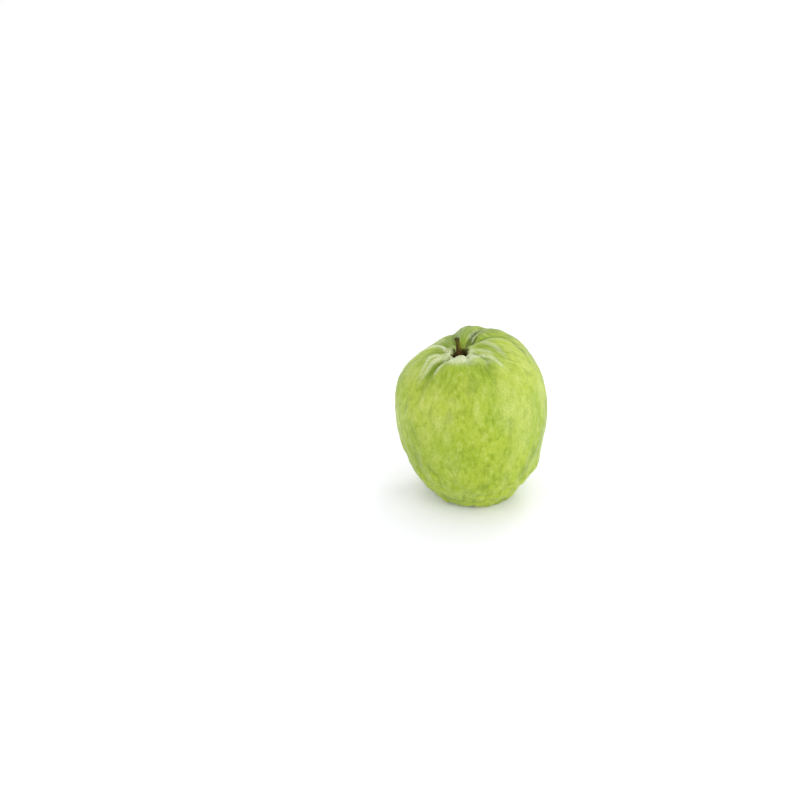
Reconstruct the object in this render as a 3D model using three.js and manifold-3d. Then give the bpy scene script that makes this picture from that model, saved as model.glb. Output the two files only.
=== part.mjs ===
// A whole guava, as picked: the ripe fruit with its furrowed crown, the dry stub of its stem in the pit on
// top, and the withered calyx in the basin underneath. The fruit stands on the ring of flesh round the basin.
//
// Millimetres, +Z up. The origin is on the surface that the fruit stands on, under the middle of the box
// round it. Azimuths are in degrees from +X towards +Y. "Along" is the distance along the skin from the
// middle of the basin underneath, over the side and the crown, down to the floor of the stem pit.

import * as THREE from "three";
import { mergeVertices } from "three/addons/utils/BufferGeometryUtils.js";
import Module from "manifold-3d";

const wasm = await Module();
wasm.setup();

// ---- Driving dimensions ---------------------------------------------------------------------------------

// The fruit's mean half outline, as radius and height: basin floor, resting ring, side, crown, pit floor.
const OUTLINE = [
  [0, 9.0], [5.6, 8.5], [9.0, 5.0], [12.6, 1.3], [17.5, 0], [24.0, 2.6], [30.5, 9.0],
  [37.6, 21.5], [43.0, 39.0], [45.2, 56.0], [43.0, 73.0], [36.4, 87.2], [27.0, 96.0],
  [18.0, 99.0], [11.0, 99.4], [6.4, 99.0], [4.7, 97.3], [4.0, 94.8], [3.8, 92.2], [2.8, 90.4], [0, 90],
];
const ROWS = 58; // steps along the outline
const COLUMNS = 80; // steps round the axis
const AXIS = [0.3, -0.8]; // where the axis meets the surface, so that the box is centred on the origin

// The crown: its pit lies off the axis, and it slopes down towards the side where the pit lies.
const PIT_OFFSET = [-6.7, -8.0];
const OFFSET_HEIGHTS = [55, 88]; // the heights over which the offset grows
const OFFSET_REACH = 42; // the radius at which it has died out
const CROWN_SLOPE = [0.11, 0.1]; // rise for each millimetre along X and Y
const SLOPE_HEIGHTS = [45, 100]; // the heights over which the slope grows

// Furrows run from the pit over the crown, and the flesh between two of them swells into a lobe, or sinks
// where the lobe is negative. twist is how far the furrow turns on its way out, in degrees, and over is the
// span of distances from the pit's floor in which it turns; width is how wide its two banks are, in degrees;
// reach is the distance from the pit's floor at which it dies out; lobe is the rise of the lobe after it.
const FURROWS = [
  { at: 14, twist: -46, over: [14, 36], depth: 2.4, width: [9, 9], reach: 58, lobe: -1.2 },
  { at: 37, twist: -46, over: [22, 46], depth: 2.4, width: [7, 9], reach: 60, lobe: 0 },
  { at: 42, twist: 20, over: [13, 23], depth: 1.4, width: [4, 4], reach: 42, lobe: 0 },
  { at: 50, twist: 20, over: [12, 24], depth: 2.4, width: [4, 5], reach: 52, lobe: 1.7 },
  { at: 110, twist: 0, over: [8, 28], depth: 4.0, width: [6, 7], reach: 62, lobe: -1.5 },
  { at: 142, twist: 8, over: [20, 36], depth: 3.0, width: [8, 8], reach: 58, lobe: -1.4 },
  { at: 178, twist: 20, over: [24, 44], depth: 3.2, width: [12, 10], reach: 64, lobe: -1.4 },
  { at: 225, twist: -3, over: [20, 34], depth: 4.4, width: [11, 12], reach: 72, lobe: -0.6 },
  { at: 297, twist: -20, over: [11, 24], depth: 2.0, width: [5, 5], reach: 42, lobe: -0.4 },
  { at: 328, twist: -34, over: [14, 38], depth: 3.4, width: [8, 10], reach: 68, lobe: -2.0 },
];
const FURROW_ROUNDING = 4; // degrees over which a furrow's bottom is rounded
const FURROW_FADING = 1.2; // the power by which a furrow grows shallow on its way out

// Narrow ridges along the crests of the lobes, as the furrows are, with the width of both sides in degrees.
const RIDGES = [
  { at: 158, twist: 8, over: [26, 50], rise: 1.0, width: 6 },
  { at: 210, twist: 0, over: [20, 40], rise: 1.1, width: 6 },
  { at: 236, twist: -4, over: [22, 34], rise: 0.3, width: 4 },
  { at: 348, twist: -38, over: [14, 36], rise: 0.9, width: 8 },
  { at: 36, twist: -46, over: [12, 42], rise: 0.8, width: 6 },
  { at: 64, twist: 14, over: [13, 25], rise: 0.5, width: 3 },
];
const RIDGE_ROUNDING = 1.5; // degrees over which a ridge's top is rounded

// Spans of distance along the skin from the pit's floor.
const RIDGES_RISE = [8, 14];
const RIDGES_FADE = [28, 58];
const FURROWS_DEEPEN = [8, 17];
const FURROWS_FADE_FROM = 18;
const BANKS_WIDEN = [14, 54];
const BANKS_WIDER = 0.5; // by how much of their width the banks have grown there
const LOBES_RISE = [9, 18];
const LOBES_FADE = [20, 56];

// Single large knobs, as half widths across and up the skin, and a rise that is negative for a hollow. The
// first ones pucker the pit's lip, the next stand on the crown, and the others are on the sides and low down.
const KNOBS = [
  { at: 226, along: 154, across: 2.6, up: 4.5, rise: -2.8 },
  { at: 266, along: 154, across: 3.5, up: 4.5, rise: -0.5 },
  { at: 301, along: 154, across: 2.4, up: 4.5, rise: -2.8 },
  { at: 302, along: 152, across: 4, up: 4, rise: 0.6 },
  { at: 45, along: 134, across: 13, up: 10, rise: 0.4 },
  { at: 102, along: 136, across: 8, up: 8, rise: 0.9 },
  { at: 325, along: 143, across: 8, up: 8, rise: -1.4 },
  { at: -8, along: 53, across: 11, up: 7, rise: 3.0 },
  { at: -14, along: 41, across: 8, up: 5, rise: -3.4 },
  { at: -26, along: 30, across: 10, up: 5, rise: 1.4 },
  { at: -55, along: 26, across: 9, up: 5, rise: 1.0 },
  { at: -100, along: 26, across: 6, up: 4, rise: 0.6 },
  { at: 8, along: 120, across: 20, up: 14, rise: -2.6 },
  { at: -6, along: 92, across: 14, up: 9, rise: 0.2 },
  { at: 60, along: 36, across: 12, up: 8, rise: 1.5 },
  { at: 145, along: 126, across: 20, up: 13, rise: -1.8 },
  { at: 140, along: 35, across: 12, up: 8, rise: 1.5 },
  { at: 180, along: 108, across: 16, up: 12, rise: 1.8 },
  { at: 200, along: 48, across: 20, up: 20, rise: -1.7 },
  { at: 222, along: 31, across: 16, up: 8, rise: -1.0 },
];

// Seeded relief: broad swells that add up, and lumps that stand side by side with creases between them.
const SWELLS = { seed: 7, count: 150, width: [5, 9], stretch: 1.7, rise: 0.42 };
const HOLLOWS = { share: 0.4, rise: -0.8 }; // the share of the swells that sink instead, beside a rise of 1
const LUMPS = { seed: 11, count: 1100, width: [3.0, 6.0], stretch: 2.1, rise: 0.9 };
const LUMP_TOPS = [0.35, 1]; // the lowest and the highest lump's top, as shares of their rise
const LUMP_STEEPNESS = 1.5; // the power that makes a lump's foot run out softly
const DRAWN_OUT = [0.2, 0.45]; // shares of the skin's length over which they grow from round to drawn out
const LUMPS_FROM_PIT = [14, 42]; // the distances from the pit's floor over which lumps and swells set in
const LUMPS_FROM_BASIN = [6, 24]; // the same from the basin's middle
const LOW_HEIGHTS = [12, 55]; // below the first they are strongest, and above the second weakest
const SWELLS_SHOW = [0.75, 1.6]; // how much of their rise shows high on the fruit and low on it
const LUMPS_SHOW = [0.35, 1.35];
const LUMP_FLOOR = 0.4; // how far below the lumps' mean the creases lie, as a share of their rise
const FLATTENED = 0.4; // how much of its lowest skin the fruit's weight presses flat

// The stub of the stem, as radius and height above the pit's floor.
const STEM_OUTLINE = [
  [0, 0], [1.9, 0.3], [2.8, 1.3], [2.9, 2.6], [2.6, 4.0], [2.0, 5.4], [1.5, 7.2],
  [1.2, 9.4], [1.15, 11.6], [1.4, 13.4], [1.6, 14.1], [1.2, 14.5], [0.8, 14.0], [0, 13.8],
];
const STEM_SIDES = 16;
const STEM_PLACE = [-0.4, 0]; // where it stands, from the middle of the pit's floor
const STEM_BEND = [-1.4, 1.4]; // how far its tip leans, along X and Y
const STEM_RIDGES = { count: 5, rise: 0.12 };

// The withered calyx: a ring round a sunken disc, sepals on its rim and what is left of the style inside.
const CALYX_OUTLINE = [
  [0, 0], [3.9, -0.1], [5.0, -1.2], [4.9, -3.0], [4.3, -3.3], [3.7, -2.6], [3.4, -1.3], [0, -1.1],
];
const CALYX_SIDES = 30;
const SEPALS = [
  { at: 12, length: 5.6, width: 5.0, spread: 42 },
  { at: 88, length: 4.8, width: 4.6, spread: 20 },
  { at: 155, length: 5.8, width: 5.2, spread: 50 },
  { at: 232, length: 5.0, width: 4.8, spread: 30 },
  { at: 300, length: 5.0, width: 4.4, spread: 12 },
];
const SEPAL_THICKNESS = 0.7;
const SEPAL_ROOT = { depth: 1.2, inwards: 0.5 }; // how far a sepal's root is sunk in the ring
const SEPAL_NARROWING = 0.35; // how much narrower it is towards its tip, beside being rounded
const SEPAL_CUP = 0.14; // how far it bends inwards, for each square millimetre from its middle line
const SEPAL_LEAN = 0.6; // the share of its spread that it has from the root on
const STYLE = { radius: 0.7, tipRadius: 0.49, length: 4.2, foot: -0.4, lean: -9 };

const GAP = 0.35; // between two pieces that grow from one another

// ---- Small helpers --------------------------------------------------------------------------------------

const radians = THREE.MathUtils.degToRad;
const mix = THREE.MathUtils.lerp;
const smooth = (from, to, x) => THREE.MathUtils.smoothstep(x, from, to);

// The signed angle from one azimuth to another, within half a turn either way.
function turn(from, to) {
  const d = (to - from) % 360;
  return d > 180 ? d - 360 : d < -180 ? d + 360 : d;
}

// A repeatable stream of numbers from 0 to 1.
function randomStream(seed) {
  let a = seed;
  return () => {
    a = (a + 0x6d2b79f5) | 0;
    let t = Math.imul(a ^ (a >>> 15), a | 1);
    t ^= t + Math.imul(t ^ (t >>> 7), t | 61);
    return ((t ^ (t >>> 14)) >>> 0) / 4294967296;
  };
}

// A closed mesh's geometry with its seams and poles joined, so that only the position is left.
function joined(geometry) {
  geometry.deleteAttribute("normal");
  geometry.deleteAttribute("uv");
  return mergeVertices(geometry, 1e-4);
}

function toSolid(geometry) {
  const closed = joined(geometry);
  return new wasm.Manifold(
    new wasm.Mesh({
      numProp: 3,
      vertProperties: closed.attributes.position.array,
      triVerts: new Uint32Array(closed.index.array),
    }),
  );
}

function toGeometry(solid) {
  const { vertProperties, triVerts } = solid.getMesh();
  const geometry = new THREE.BufferGeometry();
  geometry.setAttribute("position", new THREE.BufferAttribute(vertProperties, 3));
  geometry.setIndex(new THREE.BufferAttribute(triVerts, 1));
  return geometry;
}

// A mesh with flat-coloured, rough, unmetallic skin.
function piece(name, geometry, color, roughness) {
  const material = new THREE.MeshStandardMaterial({ color, roughness, metalness: 0 });
  const mesh = new THREE.Mesh(geometry, material);
  mesh.name = name;
  return mesh;
}

// A solid turned about Z from an outline of [radius, height] pairs.
function turned(outline, sides) {
  const points = outline.map(([r, z]) => new THREE.Vector2(r, z));
  return new THREE.LatheGeometry(points, sides).rotateX(Math.PI / 2);
}

// ---- The fruit's skin -----------------------------------------------------------------------------------

const skinCurve = new THREE.SplineCurve(OUTLINE.map(([r, z]) => new THREE.Vector2(r, z)));
const SKIN_LENGTH = skinCurve.getLength();

// Bumps spread evenly over the skin. Near the basin they are round, and up the side they are drawn out.
function scatter({ seed, count, width, stretch }) {
  const random = randomStream(seed);
  return Array.from({ length: count }, () => {
    const at = 360 * random();
    const along = (SKIN_LENGTH * Math.acos(1 - 2 * random())) / Math.PI;
    const size = random();
    const across = mix(width[0], width[1], size);
    const drawnOut = mix(1, stretch, smooth(...DRAWN_OUT, along / SKIN_LENGTH));
    return { at, along, across, up: across * drawnOut, size, chance: random() };
  });
}

const swells = scatter(SWELLS);
const lumps = scatter(LUMPS);

// The square of a point's distance from a bump's middle, in the bump's half widths.
function distanceSquared(bump, at, along, radius) {
  const up = (along - bump.along) / bump.up;
  const across = (radius * radians(turn(bump.at, at))) / bump.across;
  return up * up + across * across;
}

// Where a furrow or ridge runs, at a distance along the skin from the pit's floor.
const route = ({ at, twist, over }, fromPit) => at + twist * smooth(...over, fromPit);

// Furrows and lobes, at a distance along the skin from the pit's floor.
function crownRelief(at, fromPit) {
  let relief = 0;
  FURROWS.forEach((furrow, i) => {
    const next = FURROWS[(i + 1) % FURROWS.length];
    const start = route(furrow, fromPit);
    const end = route(next, fromPit);

    const aside = turn(start, at);
    const widening = 1 + BANKS_WIDER * smooth(...BANKS_WIDEN, fromPit);
    const width = furrow.width[aside < 0 ? 0 : 1] * widening;
    const away = Math.hypot(aside, FURROW_ROUNDING) - FURROW_ROUNDING;
    const left = 1 - smooth(FURROWS_FADE_FROM, furrow.reach, fromPit);
    const fade = smooth(...FURROWS_DEEPEN, fromPit) * left ** FURROW_FADING;
    relief -= furrow.depth * fade * Math.exp(-away / width);

    const share = ((at - start + 720) % 360) / ((end - start + 720) % 360);
    const swell = smooth(...LOBES_RISE, fromPit) * (1 - smooth(...LOBES_FADE, fromPit));
    if (share < 1) relief += furrow.lobe * swell * Math.sin(Math.PI * share) ** 2;
  });
  return relief;
}

function ridgeRelief(at, fromPit) {
  const shown = smooth(...RIDGES_RISE, fromPit) * (1 - smooth(...RIDGES_FADE, fromPit));
  return RIDGES.reduce((sum, ridge) => {
    const away = Math.hypot(turn(route(ridge, fromPit), at), RIDGE_ROUNDING) - RIDGE_ROUNDING;
    return sum + ridge.rise * shown * Math.exp(-away / ridge.width);
  }, 0);
}

function knobRelief(at, along, radius) {
  const rise = (knob) => knob.rise * Math.exp(-distanceSquared(knob, at, along, radius));
  return KNOBS.reduce((sum, knob) => sum + rise(knob), 0);
}

// The swells add up, and the lumps run into one another with soft creases between them.
function lumpRelief(at, along, radius) {
  let swell = 0;
  for (const bump of swells) {
    const rise = bump.chance > HOLLOWS.share ? 1 : HOLLOWS.rise;
    swell += rise * (1 + bump.size) * Math.exp(-distanceSquared(bump, at, along, radius));
  }
  let lump = 0;
  for (const bump of lumps) {
    if (Math.abs(along - bump.along) > bump.up) continue;
    const inside = 1 - distanceSquared(bump, at, along, radius);
    if (inside > 0) lump = Math.hypot(lump, inside ** LUMP_STEEPNESS * mix(...LUMP_TOPS, bump.chance));
  }
  return { swell: SWELLS.rise * swell, lump: LUMPS.rise * (lump - LUMP_FLOOR) };
}

// How far the skin stands out from the mean outline. The lumps fade out in the basin and on the crown, and
// are strongest low on the fruit.
function relief(at, along, radius, height) {
  const fromPit = SKIN_LENGTH - along;
  const shown = smooth(...LUMPS_FROM_PIT, fromPit) * smooth(...LUMPS_FROM_BASIN, along);
  const low = 1 - smooth(...LOW_HEIGHTS, height);
  const { swell, lump } = lumpRelief(at, along, radius);
  return (
    crownRelief(at, fromPit) +
    ridgeRelief(at, fromPit) +
    knobRelief(at, along, radius) +
    shown * (swell * mix(...SWELLS_SHOW, low) + lump * mix(...LUMPS_SHOW, low))
  );
}

// A point of the skin, at an azimuth and a share of the way along the outline.
function skinPoint(at, share) {
  const { x: radius, y: height } = skinCurve.getPointAt(share);
  const { x: tangentR, y: tangentZ } = skinCurve.getTangentAt(share);
  const out = relief(at, share * SKIN_LENGTH, radius, height);
  const r = Math.max(0, radius + out * tangentZ);
  const z = height - out * tangentR;

  const nearPit = smooth(...OFFSET_HEIGHTS, height) * (1 - smooth(0, OFFSET_REACH, radius));
  const x = r * Math.cos(radians(at)) + PIT_OFFSET[0] * nearPit;
  const y = r * Math.sin(radians(at)) + PIT_OFFSET[1] * nearPit;
  const slope = smooth(...SLOPE_HEIGHTS, height) * (CROWN_SLOPE[0] * x + CROWN_SLOPE[1] * y);
  return new THREE.Vector3(x, y, Math.max(0, z + slope - FLATTENED));
}

// ---- Pieces ---------------------------------------------------------------------------------------------

function fruitGeometry() {
  const geometry = new THREE.LatheGeometry(skinCurve.getSpacedPoints(ROWS), COLUMNS);
  const position = geometry.attributes.position;
  const pole = (row) => row === 0 || row === ROWS;
  for (let column = 0; column <= COLUMNS; column++) {
    const at = (360 * (column % COLUMNS)) / COLUMNS;
    for (let row = 0; row <= ROWS; row++) {
      const point = skinPoint(pole(row) ? 0 : at, row / ROWS);
      position.setXYZ(column * (ROWS + 1) + row, point.x, point.y, point.z);
    }
  }
  return joined(geometry);
}

// The stub is turned, given a few low ridges, and bent towards its tip.
function stemGeometry() {
  const geometry = turned(STEM_OUTLINE, STEM_SIDES);
  const position = geometry.attributes.position;
  const length = Math.max(...STEM_OUTLINE.map(([, z]) => z));
  for (let i = 0; i < position.count; i++) {
    const [x, y, z] = [position.getX(i), position.getY(i), position.getZ(i)];
    const radius = Math.hypot(x, y);
    const ridge = STEM_RIDGES.rise * Math.cos(STEM_RIDGES.count * Math.atan2(y, x));
    const swell = radius > 1 ? 1 + ridge / radius : 1;
    const bent = (z / length) ** 2;
    position.setXYZ(i, x * swell + STEM_BEND[0] * bent, y * swell + STEM_BEND[1] * bent, z);
  }
  return joined(geometry);
}

// A withered sepal hangs from the ring's rim: a blade that tapers to a narrow tip, cupped across and curled
// back.
function sepalSolid({ at, length, width, spread }) {
  const tip = 0.04; // of its width
  const geometry = new THREE.BoxGeometry(width, SEPAL_THICKNESS, length, 6, 1, 8);
  const position = geometry.attributes.position;
  for (let i = 0; i < position.count; i++) {
    const share = THREE.MathUtils.clamp(0.5 - position.getZ(i) / length, 0, 1); // 0 at the root, 1 at the tip
    const taper = Math.sqrt(1 - share ** 2) * (1 - SEPAL_NARROWING * share) + tip;
    const across = position.getX(i) * taper;
    const cup = SEPAL_CUP * across ** 2;
    const curl = 0.5 * length * share ** 2 * Math.tan(radians(spread) / 2);
    position.setXYZ(i, across, position.getY(i) + curl - cup, -share * length);
  }
  const [rimRadius, rimHeight] = CALYX_OUTLINE[3];
  geometry.rotateX(radians(spread) * SEPAL_LEAN);
  geometry.translate(0, rimRadius - SEPAL_ROOT.inwards, rimHeight + SEPAL_ROOT.depth);
  geometry.rotateZ(radians(at - 90));
  return toSolid(geometry);
}

function calyxGeometry() {
  const ring = toSolid(turned([...CALYX_OUTLINE].reverse(), CALYX_SIDES));
  const style = toSolid(
    new THREE.CylinderGeometry(STYLE.radius, STYLE.tipRadius, STYLE.length, 8)
      .rotateX(Math.PI / 2)
      .rotateX(radians(STYLE.lean))
      .translate(0, 0, STYLE.foot - STYLE.length / 2),
  );
  return toGeometry(SEPALS.reduce((whole, sepal) => whole.add(sepalSolid(sepal)), ring.add(style)));
}

// ---- Assembly -------------------------------------------------------------------------------------------

const pitFloor = skinPoint(0, 1);
const basinFloor = skinPoint(0, 0);

const fruit = piece("fruit", fruitGeometry(), 0xaac548, 0.45);

const stem = piece("stem", stemGeometry(), 0x6b5a24, 0.85);
stem.position.set(pitFloor.x + STEM_PLACE[0], pitFloor.y + STEM_PLACE[1], pitFloor.z + GAP);

const calyx = piece("calyx", calyxGeometry(), 0x6a4a26, 0.9);
calyx.position.set(basinFloor.x, basinFloor.y, basinFloor.z - GAP);

const guava = new THREE.Group();
guava.position.set(AXIS[0], AXIS[1], 0);
guava.add(fruit, stem, calyx);

export default guava;
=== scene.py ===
"""A whole guava on a pale studio floor.

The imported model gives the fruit, its stem stub and its withered calyx as coarse solids. This script
replaces each with a finer piece of the same form: the fruit's skin comes from the same outline, furrows,
ridges, knobs and seeded lumps, with streaks and creases added that the solid is too coarse to hold.

The form is worked out in millimetres and turned into metres when a mesh is made. Azimuths are in degrees
from +X towards +Y. "Along" is the distance along the skin from the middle of the basin underneath, over
the side and the crown, down to the floor of the stem pit. "From the pit" is the distance back from there.
"""

import math

import bpy
import numpy as np
from mathutils import Matrix, Vector, noise


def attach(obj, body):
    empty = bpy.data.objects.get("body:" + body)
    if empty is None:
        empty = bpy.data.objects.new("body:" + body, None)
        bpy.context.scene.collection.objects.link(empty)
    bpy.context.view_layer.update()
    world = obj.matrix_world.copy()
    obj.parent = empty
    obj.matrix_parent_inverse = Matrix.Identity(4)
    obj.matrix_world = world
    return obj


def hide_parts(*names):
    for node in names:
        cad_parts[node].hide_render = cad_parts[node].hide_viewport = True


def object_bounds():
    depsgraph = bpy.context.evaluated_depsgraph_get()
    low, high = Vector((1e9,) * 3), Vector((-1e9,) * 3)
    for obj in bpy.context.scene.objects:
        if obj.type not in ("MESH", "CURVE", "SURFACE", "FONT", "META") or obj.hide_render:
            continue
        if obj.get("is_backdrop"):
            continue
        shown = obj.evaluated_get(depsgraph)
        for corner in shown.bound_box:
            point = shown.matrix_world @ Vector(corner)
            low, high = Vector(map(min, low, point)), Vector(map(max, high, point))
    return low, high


MM = 0.001
UP = np.array([0, 0, 1.0])

# ---- The fruit's form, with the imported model's driving dimensions ----------------------------------------

# Radius and height of the skin, from the middle of the basin to the floor of the stem pit.
OUTLINE = [
    (0, 9.0), (5.6, 8.5), (9.0, 5.0), (12.6, 1.3), (17.5, 0), (24.0, 2.6), (30.5, 9.0),
    (37.6, 21.5), (43.0, 39.0), (45.2, 56.0), (43.0, 73.0), (36.4, 87.2), (27.0, 96.0),
    (18.0, 99.0), (11.0, 99.4), (6.4, 99.0), (4.7, 97.3), (4.0, 94.8), (3.8, 92.2), (2.8, 90.4), (0, 90),
]
AXIS = (0.3, -0.8)  # where the outline's axis stands
PIT_OFFSET = (-6.7, -8.0)  # how far the pit lies off that axis
OFFSET_HEIGHTS = (55, 88)  # the heights over which the skin shifts aside with the pit
OFFSET_REACH = 42  # the radius from which it no longer does
CROWN_SLOPE = (0.11, 0.1)  # how steeply the crown rises along +X and +Y
SLOPE_HEIGHTS = (45, 100)  # the heights over which that slope sets in

# A furrow's azimuth, how far it turns on its way out and over which distances, its depth, the width of its
# two banks in degrees, its reach, and the rise of the lobe after it, which sinks where that is below zero.
FURROWS = [
    (14, -46, (14, 36), 2.4, (9, 9), 58, -1.2),
    (37, -46, (22, 46), 2.4, (7, 9), 60, 0),
    (42, 20, (13, 23), 1.4, (4, 4), 42, 0),
    (50, 20, (12, 24), 2.4, (4, 5), 52, 1.7),
    (110, 0, (8, 28), 4.0, (6, 7), 62, -1.5),
    (142, 8, (20, 36), 3.0, (8, 8), 58, -1.4),
    (178, 20, (24, 44), 3.2, (12, 10), 64, -1.4),
    (225, -3, (20, 34), 4.4, (11, 12), 72, -0.6),
    (297, -20, (11, 24), 2.0, (5, 5), 42, -0.4),
    (328, -34, (14, 38), 3.4, (8, 10), 68, -2.0),
]
FURROW_PAIRS = list(zip(FURROWS, FURROWS[1:] + FURROWS[:1]))  # each with the next one round the axis
FURROW_ROUNDING = 4  # how round a furrow's bottom is, in degrees
FURROW_FADING = 1.2  # the power by which a furrow fades out towards its reach
SHADED_FURROW = 3  # how deep a furrow has to be for its painted shade to be full

# A ridge's azimuth, how far it turns on its way out and over which distances, its rise and its width in
# degrees.
RIDGES = [
    (158, 8, (26, 50), 1.0, 6),
    (210, 0, (20, 40), 1.1, 6),
    (236, -4, (22, 34), 0.3, 4),
    (348, -38, (14, 36), 0.9, 8),
    (36, -46, (12, 42), 0.8, 6),
    (64, 14, (13, 25), 0.5, 3),
]
RIDGE_ROUNDING = 1.5  # how round a ridge's top is, in degrees

# The distances from the pit's floor over which each of these happens.
RIDGES_RISE = (8, 14)
RIDGES_FADE = (28, 58)
FURROWS_DEEPEN = (8, 17)
FURROWS_FADE_FROM = 18
BANKS_WIDEN = (14, 54)
LOBES_RISE = (9, 18)
LOBES_FADE = (20, 56)
BANKS_WIDER = 0.5  # the share by which a furrow's banks end up wider

# A knob's azimuth, place along the skin, half widths across and up, and rise.
KNOBS = [
    (226, 154, 2.6, 4.5, -2.8),
    (266, 154, 3.5, 4.5, -0.5),
    (301, 154, 2.4, 4.5, -2.8),
    (302, 152, 4, 4, 0.6),
    (45, 134, 13, 10, 0.4),
    (102, 136, 8, 8, 0.9),
    (325, 143, 8, 8, -1.4),
    (-8, 53, 11, 7, 3.0),
    (-14, 41, 8, 5, -3.4),
    (-26, 30, 10, 5, 1.4),
    (-55, 26, 9, 5, 1.0),
    (-100, 26, 6, 4, 0.6),
    (8, 120, 20, 14, -2.6),
    (-6, 92, 14, 9, 0.2),
    (60, 36, 12, 8, 1.5),
    (145, 126, 20, 13, -1.8),
    (140, 35, 12, 8, 1.5),
    (180, 108, 16, 12, 1.8),
    (200, 48, 20, 20, -1.7),
    (222, 31, 16, 8, -1.0),
]

# Seeded bumps: how many, their half width in millimetres and how far they are drawn out up the side.
SWELLS = {"seed": 7, "count": 150, "width": (5, 9), "stretch": 1.7}
SWELL_RISE = 0.42
SWELL_REACH = 3  # the half widths within which a swell is worked out
HOLLOWS = {"share": 0.4, "rise": -0.8}  # the share of the swells that sink, and how far for a swell's 1 up
LUMPS = {"seed": 11, "count": 1100, "width": (3.0, 6.0), "stretch": 2.1}
LUMP_RISE = 0.9
LUMP_TOPS = (0.35, 1)  # the tops of the lowest and of the highest dome
LUMP_STEEPNESS = 1.5  # the power of a dome's profile
DRAWN_OUT = (0.2, 0.45)  # the shares of the skin's length over which bumps turn from round to drawn out
LUMPS_FROM_PIT = (14, 42)  # the distances from the pit's floor over which swells and lumps set in
LUMPS_FROM_BASIN = (6, 24)  # and those from the middle of the basin
LOW_HEIGHTS = (12, 55)  # the heights between which the skin passes from low on the fruit to high on it
SWELLS_SHOW = (0.75, 1.6)  # how strong swells are high on the fruit, and low on it
LUMPS_SHOW = (0.35, 1.35)  # how strong lumps are there
LUMP_FLOOR = 0.4  # the height in the domes that lies level with the outline
FLATTENED = 0.4  # how far the fruit sinks onto what it stands on, which presses it flat there

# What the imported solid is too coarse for.
STREAKS = {"seed": 23, "count": 5200, "width": (0.8, 1.7), "stretch": 2.6}
STREAK_RISE = 0.16
STREAK_FLOOR = 0.45  # the height in the streaks that lies level with the skin
STREAKS_FROM_PIT = (2, 12)  # the distances from the pit's floor over which the streaks set in
STREAKS_GROW = (10, 40)  # and over which they grow to all of their rise
STREAKS_LEAST = 0.3  # from this share of it
GRAIN_RADIUS = 30  # the radius of the cylinder that the skin's grain is wrapped on
GRAIN_TURN = -36  # how far the grain turns below the crown, at the azimuth where it turns most
GRAIN_TURNS_MOST = 345  # that azimuth
GRAIN_EVENS = (16, 46)  # the distances from the pit's floor over which it leaves the furrows' turns
CREST_SPAN = 6  # degrees on either side over which a crest stands out

# Lines on the skin, each as half width, strength, and places as azimuth and distance along the skin.
# The creases are dented a little, and their near-black colour is painted shade, one of them along an edge of
# the crown.
CREASES = [
    (0.9, 1.0, [(42, 163), (53, 156), (61, 151), (71, 145), (72, 140), (67, 133)]),
    (0.8, 1.1, [(28, 163), (40, 156), (52, 151), (59, 146), (60, 141), (58, 135)]),
    (0.9, 0.75, [(55, 133), (40, 130), (28, 126), (20, 122), (12, 119), (2, 116)]),
    (0.7, 0.6, [(-2, 113), (-3, 110), (-6, 108), (-10, 106)]),
    (0.7, 0.65, [(20, 130), (12, 128), (2, 126), (-10, 124), (-14, 120)]),
    (0.6, 0.6, [(-138, 116), (-136, 115), (-132, 113)]),
    (1.5, 0.6, [(-142, 151), (-139, 145), (-137, 138), (-136, 132), (-135, 126)]),
]
CREASE_DEPTH = 0.12  # where the strength is 1
# Lines of whitish bloom with painted highlight along the crests, given as the creases are.
BLOOM_AND_HIGHLIGHT_LINES = [
    (2.2, 0.95, [(-150, 155), (172, 153), (152, 148), (154, 141), (159, 136), (163, 128), (169, 123),
                 (175, 117)]),
    (2.3, 0.9, [(-143, 156), (-152, 149), (-166, 144), (-165, 138), (-157, 132), (-150, 123), (-150, 114)]),
    (2.4, 0.9, [(-143, 152), (-147, 146), (-148, 137), (-147, 132), (-146, 122), (-143, 110)]),
    (1.6, 0.6, [(-138, 158), (-137, 153), (-137, 150)]),
    (2.2, 0.85, [(-130, 153), (-126, 147), (-128, 142), (-130, 136), (-131, 131), (-130, 122)]),
    (1.2, 0.6, [(-86, 154), (-78, 150), (-76, 145)]),
    (1.4, 0.6, [(66, 151), (70, 147), (74, 141), (71, 134)]),
    (0.8, 0.8, [(58, 151), (66, 146), (66, 142), (66, 136)]),
    (2.0, 0.6, [(20, 157), (38, 150), (26, 147), (12, 145), (-4, 142), (-18, 139), (-30, 134), (-38, 129)]),
    (1.5, 0.6, [(-20, 155), (-13, 152), (-6, 150), (-13, 146), (-20, 143), (-28, 139)]),
    (1.9, 0.75, [(-54, 155), (-44, 151), (-30, 148), (-34, 142), (-44, 136), (-49, 130), (-48, 126)]),
    (0.9, 0.5, [(46, 138), (36, 133), (24, 131), (10, 128), (0, 123), (-8, 118), (-14, 110)]),
]
LINE_ENDS = 0.85  # how much thinner and weaker than its middle a line is at its ends
LINE_TAPER = 4  # the power by which it gets so
LINES_FADE = (18, 80)  # the distances from the pit's floor over which the lines of bloom and painted highlight thin out
RIDGE_BLOOM_AND_HIGHLIGHT = 0.65  # how strong the bloom and painted highlight are on top of a ridge
BLOOM_AND_HIGHLIGHT_FADES = (16, 50)  # the distances from the pit's floor over which the ridges' bloom and painted highlight thin out
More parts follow.
